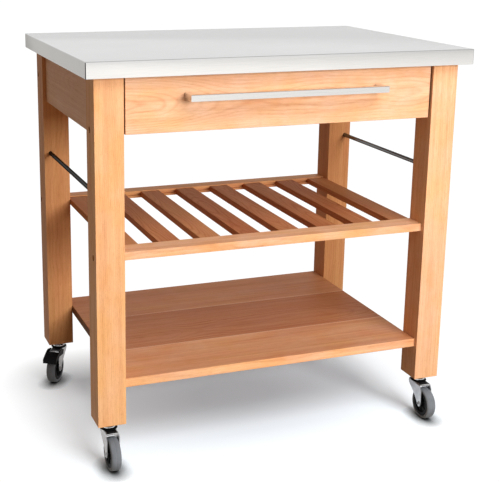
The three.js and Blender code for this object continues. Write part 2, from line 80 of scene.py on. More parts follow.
class Graph:
    """A few short calls for writing a node tree. Values can be numbers, colours or other nodes' sockets."""

    def __init__(self, tree):
        self.tree = tree
        self.tree.nodes.clear()

    def add(self, kind, **inputs):
        node = self.tree.nodes.new(kind)
        for name, value in inputs.items():
            self.feed(node.inputs[name.replace("_", " ")], value)
        return node

    def feed(self, socket, value):
        if isinstance(value, bpy.types.NodeSocket):
            self.tree.links.new(value, socket)
        else:
            socket.default_value = value

    def math(self, operation, *values):
        node = self.tree.nodes.new("ShaderNodeMath")
        node.operation = operation
        for socket, value in zip(node.inputs, values):
            self.feed(socket, value)
        return node.outputs[0]

    def split(self, vector):
        node = self.add("ShaderNodeSeparateXYZ", Vector=vector)
        return node.outputs[0], node.outputs[1], node.outputs[2]

    def vector(self, x, y, z):
        return self.add("ShaderNodeCombineXYZ", X=x, Y=y, Z=z).outputs[0]

    def length(self, first, second):
        squares = [self.math("MULTIPLY", value, value) for value in (first, second)]
        return self.math("SQRT", self.math("ADD", *squares))

    def noise(self, vector, detail=2.0, roughness=0.5):
        node = self.add("ShaderNodeTexNoise", Vector=vector, Scale=1.0, Detail=detail, Roughness=roughness)
        return node.outputs["Fac"]

    def remap(self, value, low, high, new_low=0.0, new_high=1.0):
        node = self.tree.nodes.new("ShaderNodeMapRange")
        for socket, number in zip(node.inputs, (value, low, high, new_low, new_high)):
            self.feed(socket, number)
        return node.outputs[0]

    def mix(self, factor, first, second, blend="MIX"):
        node = self.tree.nodes.new("ShaderNodeMix")
        node.data_type = "RGBA"
        node.blend_type = blend
        self.feed(node.inputs[0], factor)
        self.feed(node.inputs[6], first)
        self.feed(node.inputs[7], second)
        return node.outputs[2]

    def bump(self, height, strength, distance):
        node = self.add("ShaderNodeBump", Height=height, Strength=strength, Distance=distance)
        return node.outputs[0]


def new_material(name):
    material = bpy.data.materials.new(name)
    material.use_nodes = True
    return material, Graph(material.node_tree)


def finish_material(graph, shader):
    graph.add("ShaderNodeOutputMaterial", Surface=shader.outputs[0])


# ---------------------------------------------------------------- wood

BEECH_LIGHT = (0.88, 0.49, 0.205, 1)
BEECH_PINK = (0.85, 0.42, 0.20, 1)
BEECH_RED = (0.46, 0.158, 0.060, 1)
BEECH_PALE = (0.92, 0.62, 0.44, 1)
LATE_WOOD = (0.72, 0.54, 0.44, 1)  # what the dark marks leave of the colour
FLECK = (0.30, 0.11, 0.04, 1)
PLY_LIGHT = (0.74, 0.50, 0.29, 1)
PLY_DARK = (0.56, 0.34, 0.17, 1)
WHOLE = (1, 1, 1, 1)

RING_WIDTH = 4.2 * MM
RING_SHARPNESS = 7.0  # higher makes the dark line in each ring thinner
PITH_LEAN = (0.012, 0.03)  # least and most, in metres across for each metre along
BULGE_DEPTH = 16 * MM
WAVER_DEPTH = 2.2 * MM

# Frequencies per metre of each noise, across the grain and along it.
BULGE = (0.6, 2.6)
WAVER = (22.0, 9.0)
STREAK = (380.0, 6.0)
BAND = (62.0, 1.3)
DASH = (430.0, 64.0)
FLECKS = (1500.0, 260.0)
HUE = (34.0, 5.0)
DRIFT = (6.0, 2.2)
PATCH = (19.0, 12.0)
PLY_WARP = (9.0, 2.0)
PLY_STREAK = (500.0, 12.0)

# How strongly each mark shows.
RING_DARK = 0.48
STREAK_DARK = 0.36
BAND_DARK = 0.30
DASH_DARK = 0.20
FLECK_DARK = 0.28
PATCH_SPREAD = 0.30
# End grain is darker; this strong a darkening is partly painted shade on the legs' undersides, which the
# crowns mirror.
END_GRAIN_AND_SHADE = 0.3  # what end grain keeps of the colour

# The staves of a glued panel.
STAVE_FIRST = 0.30
STAVE_STEP = 0.618  # the golden ratio sets neighbouring staves apart
STAVE_SIDEWAYS = 0.06
STAVE_ALONG = 3.0
STAVE_REDNESS = (-0.26, 0.24)
JOINT_HALF = 1.2 * MM
JOINT_PALENESS = 0.5


def along_and_across(graph, grain):
    """Distances along and across the grain, from the piece's own coordinates."""
    place = graph.add("ShaderNodeTexCoord").outputs["Object"]
    axes = dict(zip("XYZ", graph.split(place)))
    across = [axes[name] for name in "XYZ" if name != grain]
    return axes[grain], across[0], across[1]


def board_axes(graph, node, grain):
    """Distances along a board, through it and across its width, and where its middle is on the last two."""
    low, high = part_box(node)
    along, thick, wide = along_and_across(graph, grain)
    order = [index for index in range(3) if "XYZ"[index] != grain]
    if (high - low)[order[0]] > (high - low)[order[1]]:
        thick, wide = wide, thick
        order.reverse()
    centre = [((low + high) / 2)[index] for index in order]
    return along, thick, wide, centre


def stretched_noise(graph, place, scales, **settings):
    """Noise at a place given as two distances across the grain and one along it."""
    first, second, along = place
    across_scale, along_scale = scales
    vector = graph.vector(graph.math("MULTIPLY", first, across_scale),
                          graph.math("MULTIPLY", second, across_scale),
                          graph.math("MULTIPLY", along, along_scale))
    return graph.noise(vector, **settings)


def number_staves(graph, across, edges):
    """A different number for each stave of a glued panel, and a mark on the joints between them."""
    step = 0.0
    joint = 0.0
    for edge in edges:
        step = graph.math("ADD", step, graph.math("GREATER_THAN", across, edge))
        gap = graph.math("ABSOLUTE", graph.math("SUBTRACT", across, edge))
        joint = graph.math("MAXIMUM", joint, graph.math("LESS_THAN", gap, JOINT_HALF))
    number = graph.math("FRACT", graph.math("ADD", graph.math("MULTIPLY", step, STAVE_STEP), STAVE_FIRST))
    return number, joint


def growth_rings(graph, place, centre, pith, rng):
    """Dark late wood of each growth ring, round a pith line that leans and wanders along the board."""
    thick, wide, along = place
    lean = rng.choice((-1, 1)) * rng.uniform(*PITH_LEAN)
    bulge = stretched_noise(graph, place, BULGE, detail=1.0)
    bulge = graph.remap(bulge, 0.25, 0.75, -BULGE_DEPTH, BULGE_DEPTH)
    waver = stretched_noise(graph, place, WAVER, detail=2.0)
    waver = graph.remap(waver, 0.2, 0.8, -WAVER_DEPTH, WAVER_DEPTH)
    depth = graph.math("SUBTRACT", thick, centre[0] + pith[0])
    depth = graph.math("ADD", depth, graph.math("MULTIPLY", along, lean))
    depth = graph.math("ADD", graph.math("ADD", depth, bulge), waver)
    side = graph.math("ADD", graph.math("SUBTRACT", wide, centre[1] + pith[1]), waver)
    radius = graph.length(depth, side)
    turn = graph.math("FRACT", graph.math("DIVIDE", radius, RING_WIDTH))
    late = graph.math("SINE", graph.math("MULTIPLY", turn, math.pi))
    late = graph.math("POWER", late, RING_SHARPNESS)
    year = graph.vector(graph.math("MULTIPLY", radius, 70.0), rng.uniform(0, 50), 0.0)
    year = graph.noise(year, detail=1.0)
    return graph.math("MULTIPLY", late, graph.remap(year, 0.3, 0.7, 0.25, 1.0))


def dark_marks(graph, place, ring, streak, figure):
    """How dark the rings, streaks, broad bands and short dashes make the wood together."""
    band = stretched_noise(graph, place, BAND, detail=2.0)
    dash = stretched_noise(graph, place, DASH, detail=1.0)
    dark = graph.math("MULTIPLY", ring, RING_DARK * figure)
    dark = graph.math("ADD", dark, graph.remap(streak, 0.35, 0.75, 0.0, STREAK_DARK))
    dark = graph.math("ADD", dark, graph.remap(band, 0.38, 0.68, 0.0, BAND_DARK))
    return graph.math("ADD", dark, graph.remap(dash, 0.50, 0.72, 0.0, DASH_DARK))


def beech_ground(graph, turned_place, paleness, figure):
    """The light wood between the marks: a slow change from yellow to pink, with pale patches."""
    hue = stretched_noise(graph, turned_place, HUE, detail=2.0)
    colour = graph.mix(graph.remap(hue, 0.38, 0.62, 0.0, min(1.0, figure)), BEECH_LIGHT, BEECH_PINK)
    if paleness:
        patch = stretched_noise(graph, turned_place, PATCH, detail=2.0)
        spread = min(PATCH_SPREAD * figure, paleness, 1.0 - paleness)
        share = graph.remap(patch, 0.35, 0.65, paleness - spread, paleness + spread)
        colour = graph.mix(share, colour, BEECH_PALE)
    return colour


def wood(node, grain, seed, redness, paleness, pith, staves=(), figure=1.0, shine=0.11, lipping=None):
    """Beech with growth rings, streaks, slow colour drift and short brown flecks, all along the grain.

    The pith's place is from the middle of the board: through its thickness, then across its width.
    A lipping is the place across the board where a strip without any red ends.
    """
    rng = random.Random(seed)
    material, graph = new_material(f"beech_{node}")
    along, thick, wide, centre = board_axes(graph, node, grain)
    reddened = 1.0 if lipping is None else graph.math("GREATER_THAN", wide, lipping)
    if staves:
        tone, joint = number_staves(graph, wide, staves)
        wide = graph.math("ADD", wide, graph.remap(tone, 0.0, 1.0, -STAVE_SIDEWAYS, STAVE_SIDEWAYS))
        along = graph.math("ADD", along, graph.math("MULTIPLY", tone, STAVE_ALONG))
    along = graph.math("ADD", along, rng.uniform(-3, 3) / 10)
    ring = growth_rings(graph, (thick, wide, along), centre, pith, rng)
    along = graph.math("ADD", along, rng.uniform(-9, 9))
    place = (thick, wide, along)

    streak = stretched_noise(graph, place, STREAK, detail=3.0, roughness=0.6)
    drift = stretched_noise(graph, place, DRIFT, detail=1.0)
    fleck = graph.remap(stretched_noise(graph, place, FLECKS, detail=1.0), 0.62, 0.72)
    dark = dark_marks(graph, place, ring, streak, figure)
    colour = beech_ground(graph, (wide, thick, along), paleness, figure)
    red = graph.remap(drift, 0.35, 0.68, max(0.0, redness - 0.08), min(1.0, redness + 0.12))
    if staves:
        red = graph.math("ADD", red, graph.remap(tone, 0.0, 1.0, *STAVE_REDNESS))
    colour = graph.mix(graph.math("MULTIPLY", red, reddened), colour, BEECH_RED)
    colour = graph.mix(1.0, colour, graph.mix(dark, WHOLE, LATE_WOOD), blend="MULTIPLY")
    colour = graph.mix(graph.math("MULTIPLY", fleck, FLECK_DARK), colour, FLECK)
    if staves:
        colour = graph.mix(graph.math("MULTIPLY", joint, JOINT_PALENESS), colour, BEECH_PALE)

    # End grain darkens: its own tone, and partly painted shade under the legs.
    facing = graph.split(graph.add("ShaderNodeTexCoord").outputs["Normal"])["XYZ".index(grain)]
    end_grain_and_shade = graph.remap(graph.math("ABSOLUTE", facing), 0.8, 0.98, 1.0, END_GRAIN_AND_SHADE)
    colour = graph.mix(1.0, colour, graph.vector(end_grain_and_shade, end_grain_and_shade, end_grain_and_shade), blend="MULTIPLY")

    roughness = graph.remap(streak, 0.3, 0.8, 0.46, 0.62)
    height = graph.math("SUBTRACT", graph.math("MULTIPLY", streak, 0.5), graph.math("MULTIPLY", ring, 0.35))
    height = graph.math("SUBTRACT", height, graph.math("MULTIPLY", fleck, 0.5))
    normal = graph.bump(height, 0.35, 0.22 * MM)
    shader = graph.add("ShaderNodeBsdfPrincipled", Base_Color=colour, Roughness=roughness, Normal=normal)
    shader.inputs["Specular IOR Level"].default_value = shine
    finish_material(graph, shader)
    return material


def plywood(name, seed):
    """Rotary-cut board: broad wavy figure, paler than the solid wood."""
    rng = random.Random(seed)
    material, graph = new_material(name)
    along, first, second = along_and_across(graph, "X")
    place = (first, second, along)
    warp = stretched_noise(graph, place, PLY_WARP, detail=2.0)
    wave = graph.math("ADD", graph.math("MULTIPLY", first, 34.0), graph.math("MULTIPLY", warp, 5.0))
    figure = graph.vector(wave, rng.uniform(0, 40), graph.math("MULTIPLY", along, 1.5))
    figure = graph.noise(figure, detail=4.0)
    streak = stretched_noise(graph, place, PLY_STREAK, detail=2.0)
    colour = graph.mix(graph.remap(figure, 0.35, 0.65), PLY_LIGHT, PLY_DARK)
    colour = graph.mix(graph.remap(streak, 0.5, 0.8, 0.0, 0.35), colour, PLY_DARK)
    normal = graph.bump(streak, 0.3, 0.2 * MM)
    shader = graph.add("ShaderNodeBsdfPrincipled", Base_Color=colour, Roughness=0.62, Normal=normal)
    finish_material(graph, shader)
    return material


# ---------------------------------------------------------------- metals, rubber and plastic

# Frequencies per metre, across the brushing and along it.
BRUSH_LINES = (1800.0, 14.0)
BRUSH_SCRATCH = (520.0, 3.0)
BRUSH_CLOUD = (5.0, 3.0)
# The same in all directions.
ZINC_CLOUD = (90.0, 90.0)
ZINC_GRAIN = (1600.0, 1600.0)
MOULDED_DRIFT = (42.0, 42.0)


def grey(level):
    return (level, level, level, 1)


def brushed_steel(name, along, base, roughness, rim=1.0):
    """Steel with fine brush lines along one axis, a soft cloudiness and a few longer scratches."""
    material, graph = new_material(name)
    length, first, second = along_and_across(graph, along)
    place = (first, second, length)
    lines = stretched_noise(graph, place, BRUSH_LINES, detail=3.0, roughness=0.65)
    scratch = stretched_noise(graph, place, BRUSH_SCRATCH, detail=2.0)
    cloud = stretched_noise(graph, place, BRUSH_CLOUD, detail=2.0)
    dark = grey(base * 0.86)
    colour = graph.mix(graph.remap(lines, 0.3, 0.75, 0.0, 0.7), (base, base, base * 0.99, 1), dark)
    colour = graph.mix(graph.remap(scratch, 0.58, 0.75, 0.0, 0.35), colour, dark)
    rough = graph.math("ADD", graph.remap(lines, 0.25, 0.75, roughness - 0.05, roughness + 0.07),
                       graph.remap(cloud, 0.3, 0.7, -0.03, 0.03))
    normal = graph.bump(graph.math("ADD", lines, graph.math("MULTIPLY", scratch, 0.6)), 0.16, 0.05 * MM)
    shader = graph.add("ShaderNodeBsdfPrincipled", Base_Color=colour, Metallic=1.0, Roughness=rough,
                       Normal=normal)
    shader.inputs["Specular Tint"].default_value = grey(rim)
    finish_material(graph, shader)
    return material


def zinc(name, base, roughness):
    """Zinc plate: slightly cloudy and faintly uneven. A dark base blackens it; on crown tops, in sockets and
    in seams that is painted shade.
    """
    material, graph = new_material(name)
    place = graph.split(graph.add("ShaderNodeTexCoord").outputs["Object"])
    cloud = stretched_noise(graph, place, ZINC_CLOUD, detail=4.0, roughness=0.6)
    grain = stretched_noise(graph, place, ZINC_GRAIN, detail=2.0)
    colour = graph.mix(graph.remap(cloud, 0.35, 0.7), (base, base, base * 1.01, 1),
                       (base * 0.78, base * 0.78, base * 0.80, 1))
    rough = graph.remap(cloud, 0.3, 0.7, roughness - 0.04, roughness + 0.08)
    height = graph.math("ADD", graph.math("MULTIPLY", cloud, 0.6), graph.math("MULTIPLY", grain, 0.3))
    normal = graph.bump(height, 0.12, 0.12 * MM)
    shader = graph.add("ShaderNodeBsdfPrincipled", Base_Color=colour, Metallic=1.0, Roughness=rough,
                       Normal=normal)
    finish_material(graph, shader)
    return material


def grained(name, light, dark, roughness, grain_scale, strength, shine, dust=None):
    """Moulded rubber or plastic: a fine skin, slight colour drift and, on rubber, pale dust."""
    material, graph = new_material(name)
    place = graph.split(graph.add("ShaderNodeTexCoord").outputs["Object"])
    skin = stretched_noise(graph, place, (grain_scale, grain_scale), detail=3.0)
    drift = stretched_noise(graph, place, MOULDED_DRIFT, detail=3.0)
    colour = graph.mix(graph.remap(drift, 0.35, 0.7), light, dark)
    if dust is not None:
        colour = graph.mix(graph.remap(skin, 0.58, 0.8, 0.0, 0.25), colour, dust)
    rough = graph.remap(drift, 0.3, 0.7, roughness - 0.05, roughness + 0.07)
    shader = graph.add("ShaderNodeBsdfPrincipled", Base_Color=colour, Roughness=rough,
                       Normal=graph.bump(skin, strength, 0.1 * MM))
    shader.inputs["Specular IOR Level"].default_value = shine
    finish_material(graph, shader)
    return material


# ---------------------------------------------------------------- edges

WOOD_EDGE = 1.4 * MM
PLY_EDGE = 0.3 * MM
WELD_DISTANCE = 0.002 * MM
FLAT_ANGLE = 0.5  # degrees between triangles of one flat face
EDGE_ANGLE = 40  # degrees from which an edge is rounded


def round_edges(piece, width, segments):
    bevel = piece.modifiers.new("edges", "BEVEL")
    bevel.width = width
    bevel.segments = segments
    bevel.limit_method = "ANGLE"
    bevel.angle_limit = math.radians(EDGE_ANGLE)
    bevel.harden_normals = True
    return bevel


# ---------------------------------------------------------------- CAD nodes that stay


def dress(node, material, edge):
    """Gives a CAD node its material and softly rounded edges. Its mesh is only shown smoother.

    Triangles that lie in one plane are joined first, because slivers spoil a bevel.
    """
    piece = NODES[node]
    mesh = piece.data
    if "custom_normal" in mesh.attributes:
        mesh.attributes.remove(mesh.attributes["custom_normal"])
    mesh.polygons.foreach_set("use_smooth", [True] * len(mesh.polygons))
    if not piece.material_slots:
        mesh.materials.append(material)
    for holder in piece.material_slots:
        holder.material = material
    weld = piece.modifiers.new("weld", "WELD")
    weld.merge_threshold = WELD_DISTANCE
    flat = piece.modifiers.new("flat", "DECIMATE")
    flat.decimate_type = "DISSOLVE"
    flat.angle_limit = math.radians(FLAT_ANGLE)
    round_edges(piece, edge, 3).miter_outer = "MITER_ARC"


# Each kind of board draws its own figure from here on.
PLY_SEED = 7
LEG_SEED = 11
BOARD_SEED = 31
SLAT_SEED = 61
SHELF_SEED = 83

# For each wooden node: the grain's axis, how red it is, how pale it is, and where its pith is.
BOARDS = {
    "side_apron_left": ("Y", 0.0, 0.88, (0.06, 0.02)),
    "side_apron_right": ("Y", 0.05, 0.1, (-0.06, 0.02)),
    "back_apron": ("X", 0.05, 0.0, (-0.05, 0.01)),
    "front_cross_rail": ("X", 0.10, 0.0, (0.08, 0.03)),
    "drawer_front": ("X", 0.0, 0.56, (0.042, 0.004)),
    "drawer_side_left": ("Y", 0.0, 0.1, (0.06, 0.01)),
    "drawer_side_right": ("Y", 0.0, 0.1, (0.06, 0.01)),
    "drawer_back": ("X", 0.0, 0.1, (0.06, 0.01)),
    "shelf_rail_front": ("X", 0.0, 0.34, (0.02, 0.09)),
    "shelf_rail_back": ("X", 0.18, 0.0, (0.02, 0.09)),
}
LEGS = {  # the same, with the grain along Z
    "front_left": (0.0, 0.14, (0.09, -0.03)),
    # The front right leg's paleness is partly its own tone and partly a painted sheen.
    "front_right": (0.04, 0.40, (0.11, 0.05)),
    # The back legs' redness is partly their own tone and partly painted shade.
    "back_left": (0.30, 0.0, (0.03, 0.08)),
    "back_right": (0.42, 0.0, (0.06, 0.05)),
}
SLAT_REDNESS = (0.66, 0.82, 0.60, 0.86, 0.70, 0.84, 0.78, 0.66)
LEG_FIGURE = 0.5  # how strong the figure is
APRON_FIGURE = 0.4
BOARD_FIGURE = 0.8
SLAT_FIGURE = 1.3
SLAT_SHINE = 0.03
SHELF_REDNESS = 0.55
SHELF_PALENESS = 0.20
SHELF_PITH = (-0.07, 0.0)
SHELF_LIPPING = 3 * MM  # a paler strip on the bottom shelf's front edge
SHELF_JOINTS = (0.159, 0.369)  # between the bottom shelf's staves, from its front edge


def dress_wood():
    for index, (corner, (redness, paleness, pith)) in enumerate(LEGS.items()):
        node = f"leg_{corner}"
        dress(node, wood(node, "Z", LEG_SEED + index, redness, paleness, pith, figure=LEG_FIGURE), WOOD_EDGE)
    for index, (node, (grain, redness, paleness, pith)) in enumerate(BOARDS.items()):
        figure = APRON_FIGURE if "apron" in node else BOARD_FIGURE
        dress(node, wood(node, grain, BOARD_SEED + index, redness, paleness, pith, figure=figure), WOOD_EDGE)
    for index, redness in enumerate(SLAT_REDNESS):
        node = f"shelf_slat_{index + 1}"
        pith = (0.03 * (-1) ** index, 0.01 * (index - 4))
        slat = wood(node, "Y", SLAT_SEED + index, redness, 0.0, pith, figure=SLAT_FIGURE, shine=SLAT_SHINE)
        dress(node, slat, WOOD_EDGE)
    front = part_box("bottom_shelf")[0].y
    joints = tuple(front + step for step in SHELF_JOINTS)
    shelf = wood("bottom_shelf", "X", SHELF_SEED, SHELF_REDNESS, SHELF_PALENESS, SHELF_PITH, joints,
                 lipping=front + SHELF_LIPPING)
    dress("bottom_shelf", shelf, WOOD_EDGE)
    for index, node in enumerate(("drawer_floor", "worktop_core")):
        dress(node, plywood(f"plywood_{node}", PLY_SEED + index), PLY_EDGE)


ROD_EDGE = 0.5 * MM
RUNNER_EDGE = 0.3 * MM
BOLT_EDGE = 0.5 * MM
HANDLE_EDGE = 0.9 * MM


def dress_metal():
    # The rods' steel is darkened, base and edge tint alike: a painted dark reflection.
    steel = brushed_steel("steel_rod_painted_reflection", "Y", base=0.28, roughness=0.14, rim=0.12)
    runner = zinc("zinc_runner", base=0.66, roughness=0.3)
    bolt = zinc("zinc_bolt", base=0.035, roughness=0.45)
    for side in ("left", "right"):
        dress(f"towel_rod_{side}", steel, ROD_EDGE)
        dress(f"runner_fixed_{side}", runner, RUNNER_EDGE)
        dress(f"runner_moving_{side}", runner, RUNNER_EDGE)
        for rail in ("cross_rail", "shelf_front", "back_apron", "shelf_back"):
            dress(f"bolt_{rail}_{side}", bolt, BOLT_EDGE)
    dress("drawer_handle", brushed_steel("steel_handle", "X", base=0.76, roughness=0.2), HANDLE_EDGE)


# ---------------------------------------------------------------- meshes made here

SHARP_ANGLE = 35


def new_piece(name, mesh, materials, body, replaces=()):
    """An object that rides on a body, takes a slot and stands in for the CAD nodes it replaces."""
    piece = bpy.data.objects.new(name, mesh)
    bpy.context.scene.collection.objects.link(piece)
    for material in materials:
        mesh.materials.append(material)
    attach(piece, body)
    if replaces:
        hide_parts(*replaces)
    return piece


def shade_smooth(mesh, angle):
    """Smooth shading, with sharp edges where faces turn by more than an angle in degrees."""
    mesh.polygons.foreach_set("use_smooth", [True] * len(mesh.polygons))
    mesh.set_sharp_from_angle(angle=math.radians(angle))


def to_mesh(name, form, smooth_angle=SHARP_ANGLE):
    mesh = bpy.data.meshes.new(name)
    bmesh.ops.recalc_face_normals(form, faces=form.faces)
    form.to_mesh(mesh)
    form.free()
    shade_smooth(mesh, smooth_angle)
    return mesh


def rounded_rectangle(half_x, half_y, radius, steps):
    """Points round a rectangle with round corners, counterclockwise."""
    points = []
    for index, (sx, sy) in enumerate(((1, 1), (-1, 1), (-1, -1), (1, -1))):
        for step in range(steps + 1):
            angle = math.radians(90 * index + 90 * step / steps)
            x = sx * (half_x - radius) + radius * math.cos(angle)
            y = sy * (half_y - radius) + radius * math.sin(angle)
            points.append((x, y))
    return points


# ---------------------------------------------------------------- worktop

SHEET = 1.5 * MM
LIP = 13 * MM
TOP_BEND = 1.2 * MM
TOP_BEND_STEPS = 5
LIP_BEND = 1.6 * MM
LIP_BEND_STEPS = 4
CORNER_RADIUS = 1.6 * MM
LEAST_RADIUS = 0.2 * MM
CORNER_STEPS = 4
SEAM_WIDTH = 2.2 * MM
SEAM_DEPTH = 2.0 * MM


def sheet_profile(low, high):
    """Inset and height along the folded sheet's section: over the top edge, down, under, and back inside."""
    profile = []
    for step in range(TOP_BEND_STEPS + 1):
        angle = math.radians(90 - 90 * step / TOP_BEND_STEPS)
        profile.append((TOP_BEND * (1 - math.cos(angle)), high - TOP_BEND * (1 - math.sin(angle))))
    for step in range(LIP_BEND_STEPS + 1):
        angle = math.radians(90 * step / LIP_BEND_STEPS)
        profile.append((LIP_BEND * (1 - math.cos(angle)), low + LIP_BEND * (1 - math.sin(angle))))
    profile += [(LIP, low), (LIP, low + SHEET), (SHEET, low + SHEET), (SHEET, high - SHEET)]
    return profile


def make_worktop():
    """The folded sheet as rings of points down its section, with a round corner at each end of a side."""
    low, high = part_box("worktop_sheet")
    middle = (low + high) / 2
    half = (high - low) / 2
    form = bmesh.new()
    rings = []
    for inset, height in sheet_profile(low.z, high.z):
        radius = max(CORNER_RADIUS - inset, LEAST_RADIUS)
        outline = rounded_rectangle(half.x - inset, half.y - inset, radius, CORNER_STEPS)
        rings.append([form.verts.new((middle.x + x, middle.y + y, height)) for x, y in outline])
    for upper, lower in zip(rings, rings[1:]):
        for i in range(len(upper)):
            j = (i + 1) % len(upper)
            form.faces.new((upper[i], lower[i], lower[j], upper[j]))
    form.faces.new(rings[0])
    form.faces.new(list(reversed(rings[-1])))
    mesh = to_mesh("worktop", form)
    steel = brushed_steel("steel_worktop", "X", base=0.80, roughness=0.20)
    # Near-black material for the seams' faces: painted shade inside the open joints.
    seam = zinc("painted_shade_seam", base=0.05, roughness=0.6)
    piece = new_piece("worktop_steel", mesh, [steel, seam], "frame", ["worktop_sheet"])
    cut_seams(piece, low, high)


def cut_seams(piece, low, high):
    """The open joint down each corner, where the side fold meets the front or back fold. Its cut faces take
    a near-black material: painted shade in the joint.
    """
    form = bmesh.new()
    quarter = Matrix.Rotation(math.radians(45), 4, "Z")
    size = Matrix.Diagonal((SEAM_WIDTH, 2 * SEAM_DEPTH, high.z - low.z - TOP_BEND, 1))
    for x, x_sign in ((low.x, -1), (high.x, 1)):
        for y, y_sign in ((low.y, -1), (high.y, 1)):
            turn = quarter if x_sign != y_sign else quarter.inverted()
            middle = Vector((x, y, (low.z + high.z) / 2 - TOP_BEND))
            bmesh.ops.create_cube(form, size=1, matrix=Matrix.Translation(middle) @ turn @ size)
    cutter = bpy.data.objects.new("seam_cutter", to_mesh("seam_cutter", form))
    for polygon in cutter.data.polygons:
        polygon.material_index = 1
    bpy.context.scene.collection.objects.link(cutter)
    modifier = piece.modifiers.new("seams", "BOOLEAN")
    modifier.operation = "DIFFERENCE"
    modifier.object = cutter
    bpy.context.view_layer.update()
    depsgraph = bpy.context.evaluated_depsgraph_get()
    cut = bpy.data.meshes.new_from_object(piece.evaluated_get(depsgraph))
    piece.modifiers.remove(modifier)
    piece.data = cut
    shade_smooth(cut, SHARP_ANGLE)
    bpy.data.objects.remove(cutter)


# ---------------------------------------------------------------- casters
# A caster is built about its swivel axis in millimetres: (side, forward, up), trailing forward.

HEADING = {"front": 0, "back": 33}  # degrees that a caster trails away from -Y, towards -X
TRAIL = 31
AXLE_HEIGHT = 37.5
FORK_OUTSIDE = 15.2
FORK_INSIDE = 13
CROWN_TOP = 86.5
CROWN_UNDER = 84
FORK_SIDE = (
    (-19, CROWN_TOP), (-18.6, 79), (-15.5, 73.5), (-6, 66.5), (5, 58), (14, 49), (22, 39.5), (25.5, 33.5),
    (28, 30.6), (31, 29.5), (34.3, 30.4), (37, 33), (38.8, 37), (39.4, 43), (39.5, 60), (38.8, 68),
    (37, 74.5), (34, 79), (32.6, 83),
)
FORK_BEND_OUTSIDE = 4.6
FORK_BEND_INSIDE = 2.4
CROWN_FRONT = 32


def caster_matrix(corner):
    """From a caster's own millimetres to the row frame, at its stem and heading."""
    low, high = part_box(f"caster_stem_{corner}")
    axis = (low + high) / 2
    turn = Matrix.Rotation(math.radians(180 - HEADING[corner.split("_")[0]]), 4, "Z")
    return Matrix.Translation((axis.x, axis.y, 0)) @ turn @ Matrix.Scale(MM, 4)


def turned(form, profile, matrix, steps):
    """A profile of (radius, height) turned about Z. It starts and ends on the axis, or closes."""
    rings = []
    for radius, height in profile:
        if radius == 0:
            rings.append([form.verts.new(matrix @ Vector((0, 0, height)))])
            continue
        angles = [2 * math.pi * step / steps for step in range(steps)]
        rings.append([form.verts.new(matrix @ Vector((radius * math.cos(a), radius * math.sin(a), height)))
                      for a in angles])
    for upper, lower in zip(rings, rings[1:] + rings[:1]):
        if len(upper) == 1 and len(lower) == 1:
            continue
        for i in range(steps):
            j = (i + 1) % steps
            corners = [upper[0]] if len(upper) == 1 else [upper[i], upper[j]]
            corners += [lower[0]] if len(lower) == 1 else [lower[j], lower[i]]
            form.faces.new(corners)


def prism(form, outline, start, length, matrix):
    """An outline in the matrix's Y and Z, from start to start + length along its X."""
    near = [form.verts.new(matrix @ Vector((start, u, v))) for u, v in outline]
    far = [form.verts.new(matrix @ Vector((start + length, u, v))) for u, v in outline]
    form.faces.new(near)
    form.faces.new(list(reversed(far)))
    for i in range(len(outline)):
        j = (i + 1) % len(outline)
        form.faces.new((near[j], near[i], far[i], far[j]))


def arc(centre, radius, start, end, steps):
    """Points on an arc, with angles in degrees."""
    angles = [math.radians(start + (end - start) * step / steps) for step in range(steps + 1)]
    return [(centre[0] + radius * math.cos(a), centre[1] + radius * math.sin(a)) for a in angles]


def combined(name, first, second, operation):
    """A new mesh from two bmesh forms."""
    holders = []
    for label, form in ((name, first), ("tool", second)):
        holder = bpy.data.objects.new(label, to_mesh(label, form))
        bpy.context.scene.collection.objects.link(holder)
        holders.append(holder)
    modifier = holders[0].modifiers.new("combine", "BOOLEAN")
    modifier.operation = operation
    modifier.object = holders[1]
    bpy.context.view_layer.update()
    depsgraph = bpy.context.evaluated_depsgraph_get()
    mesh = bpy.data.meshes.new_from_object(holders[0].evaluated_get(depsgraph))
    for holder in holders:
        bpy.data.objects.remove(holder)
    return mesh


def fork_mesh(name, matrix):
    """A folded sheet: a crown with rounded bends into two tapering sides.

    The bent section is drawn longer than the fork all round, and the side outline cuts it to shape.
    """
    bend = FORK_BEND_OUTSIDE
    outer = arc((FORK_OUTSIDE - bend, CROWN_TOP - bend), bend, 0, 90, 6)
    outer += arc((bend - FORK_OUTSIDE, CROWN_TOP - bend), bend, 90, 180, 6)
    bend = FORK_BEND_INSIDE
    inner = arc((bend - FORK_INSIDE, CROWN_UNDER - bend), bend, 180, 90, 4)
    inner += arc((FORK_INSIDE - bend, CROWN_UNDER - bend), bend, 90, 0, 4)
    foot = 20
    section = [(FORK_OUTSIDE, foot)] + outer + [(-FORK_OUTSIDE, foot)]
    section += [(-FORK_INSIDE, foot)] + inner + [(FORK_INSIDE, foot)]
    forward = Matrix(((0, 1, 0, 0), (1, 0, 0, 0), (0, 0, 1, 0), (0, 0, 0, 1)))
    sheet = bmesh.new()
    prism(sheet, section, -25, 70, matrix @ forward)
    above = 90
    silhouette = bmesh.new()
    prism(silhouette, FORK_SIDE + ((CROWN_FRONT, above), (FORK_SIDE[0][0], above)), -20, 40, matrix)
    return combined(name, sheet, silhouette, "INTERSECT")


def add_solids(mesh, build):
    """Adds closed forms to a mesh that is already made."""
    form = bmesh.new()
    form.from_mesh(mesh)
    extra = bmesh.new()
    build(extra)
    bmesh.ops.recalc_face_normals(extra, faces=extra.faces)
    holder = bpy.data.meshes.new("extra")
    extra.to_mesh(holder)
    extra.free()
    form.from_mesh(holder)
    form.to_mesh(mesh)
    form.free()
    bpy.data.meshes.remove(holder)


